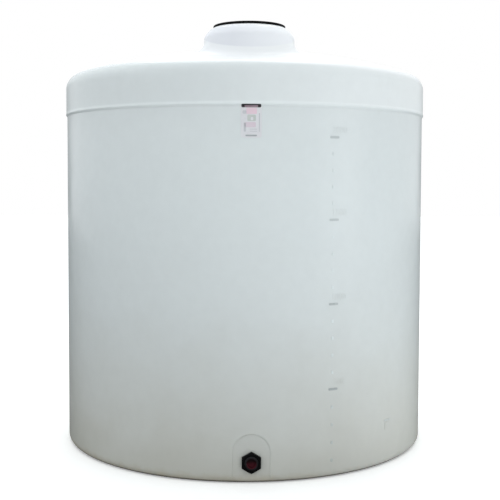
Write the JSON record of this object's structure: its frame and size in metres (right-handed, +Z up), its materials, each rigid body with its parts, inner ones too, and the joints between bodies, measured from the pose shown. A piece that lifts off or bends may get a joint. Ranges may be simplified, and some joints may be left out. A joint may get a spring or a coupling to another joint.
{
  "type": "vertical storage tank",
  "caption": "Upright moulded polyethylene liquid storage tank: round wall, low domed roof, screwed lid on a raised manway neck near the front, and a plugged bulkhead outlet on a pressed flat at the base.",
  "frame": {"origin": "on the tank's vertical axis, at the underside of the floor", "axes": "+Z up along the tank's axis; -Y is the front, the side with the outlet and the label panel; +X is to the right seen from the front"},
  "size_m": [2.301, 2.3148, 2.5491],
  "materials": {
    "shell": "satin",
    "lid": "satin",
    "fitting": "satin",
    "plug": "satin",
    "seal": "matte",
    "label": "satin"
  },
  "bodies": {
    "tank": {"floor": "shell", "wall_front": "shell", "wall_02": "shell", "wall_03": "shell", "wall_04": "shell", "wall_05": "shell", "wall_06": "shell", "wall_07": "shell", "wall_08": "shell", "wall_09": "shell", "wall_10": "shell", "wall_11": "shell", "wall_12": "shell", "shoulder_front": "shell", "shoulder_02": "shell", "shoulder_03": "shell", "shoulder_04": "shell", "shoulder_05": "shell", "shoulder_06": "shell", "shoulder_07": "shell", "shoulder_08": "shell", "shoulder_09": "shell", "shoulder_10": "shell", "shoulder_11": "shell", "shoulder_12": "shell", "crown_front": "shell", "crown_02": "shell", "crown_03": "shell", "crown_04": "shell", "crown_05": "shell", "crown_06": "shell", "crown_07": "shell", "crown_08": "shell", "crown_09": "shell", "crown_10": "shell", "crown_cap": "shell", "neck": "shell", "manway_collar": "shell", "outlet_panel": "shell", "outlet_body": "fitting", "outlet_nut": "fitting", "outlet_seal": "seal", "outlet_plug": "plug", "label_panel": "label"},
    "lid_seal": {"lid_seal": "seal"},
    "lid": {"lid_plate": "lid", "lid_skirt": "lid"}
  },
  "joints": [
    {"name": "lid_lift", "type": "slide", "parent": "tank", "child": "lid_seal", "axis": [0, 0, 1], "range_m": [0, 0.3]},
    {"name": "lid_turn", "type": "hinge", "parent": "lid_seal", "child": "lid", "pos_m": [0, -0.69, 2.5351], "axis": [0, 0, 1], "range_deg": [0, 360]}
  ]
}
